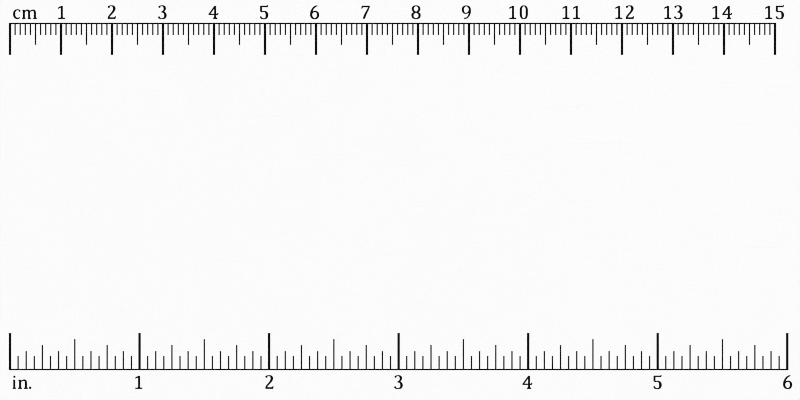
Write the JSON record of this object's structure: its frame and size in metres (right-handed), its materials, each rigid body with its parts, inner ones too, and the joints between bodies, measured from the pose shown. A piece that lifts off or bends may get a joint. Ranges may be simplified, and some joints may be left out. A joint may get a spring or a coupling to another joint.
{
  "type": "ruler",
  "caption": "Flat white plate ruler with a centimetre scale along one long edge and an inch scale along the other, in black-filled grooves.",
  "frame": {"origin": "middle of the underside of the plate", "axes": "+X runs along both scales, the way they count; +Y points to the centimetre edge; +Z points out of the engraved upper face"},
  "size_m": [0.16, 0.08, 0.003],
  "materials": {
    "white_plastic": "satin",
    "black_paint": "matt enamel"
  },
  "bodies": {
    "root": {"plate": "white_plastic", "cm_base_line": "black_paint", "cm_marks": "black_paint", "half_cm_marks": "black_paint", "millimetre_marks": "black_paint", "cm_unit_label": "black_paint", "cm_numeral_1": "black_paint", "cm_numeral_2": "black_paint", "cm_numeral_3": "black_paint", "cm_numeral_4": "black_paint", "cm_numeral_5": "black_paint", "cm_numeral_6": "black_paint", "cm_numeral_7": "black_paint", "cm_numeral_8": "black_paint", "cm_numeral_9": "black_paint", "cm_numeral_10": "black_paint", "cm_numeral_11": "black_paint", "cm_numeral_12": "black_paint", "cm_numeral_13": "black_paint", "cm_numeral_14": "black_paint", "cm_numeral_15": "black_paint", "inch_base_line": "black_paint", "inch_marks": "black_paint", "half_inch_marks": "black_paint", "quarter_inch_marks": "black_paint", "eighth_inch_marks": "black_paint", "sixteenth_inch_marks": "black_paint", "inch_unit_label": "black_paint", "inch_numeral_1": "black_paint", "inch_numeral_2": "black_paint", "inch_numeral_3": "black_paint", "inch_numeral_4": "black_paint", "inch_numeral_5": "black_paint", "inch_numeral_6": "black_paint"}
  },
  "joints": []
}
